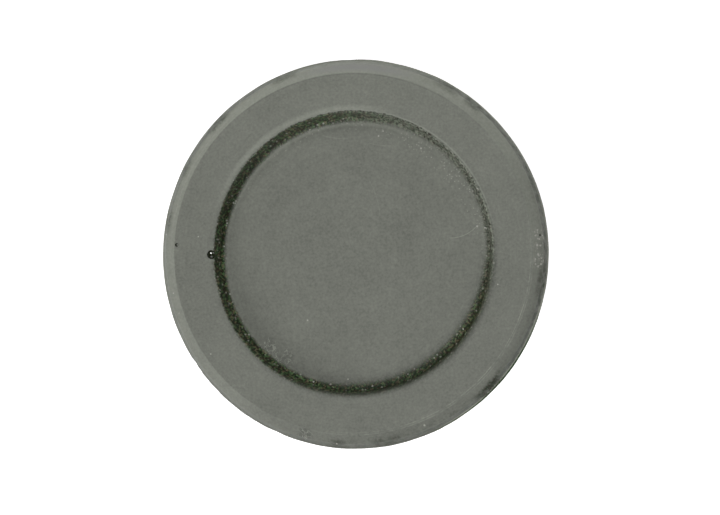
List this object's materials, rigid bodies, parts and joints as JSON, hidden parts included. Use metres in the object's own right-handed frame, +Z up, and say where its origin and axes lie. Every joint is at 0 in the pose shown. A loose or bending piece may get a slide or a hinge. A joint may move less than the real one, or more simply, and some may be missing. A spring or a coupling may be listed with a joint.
{
  "type": "rubber panel plug",
  "caption": "Round push-in rubber plug that closes a hole in sheet metal: wide bevelled flange with a recessed face, grooved neck, retaining bead and hollow underside.",
  "frame": {"origin": "middle of the plane that the skirt's rim rests on", "axes": "+Z up the round axis, out of the recessed face; X and Y lie in the plane of the rim"},
  "size_m": [0.0476, 0.0476, 0.007],
  "materials": {
    "rubber": "matt moulded rubber, olive grey with bloom"
  },
  "bodies": {
    "root": {"plug": "rubber"}
  },
  "joints": []
}
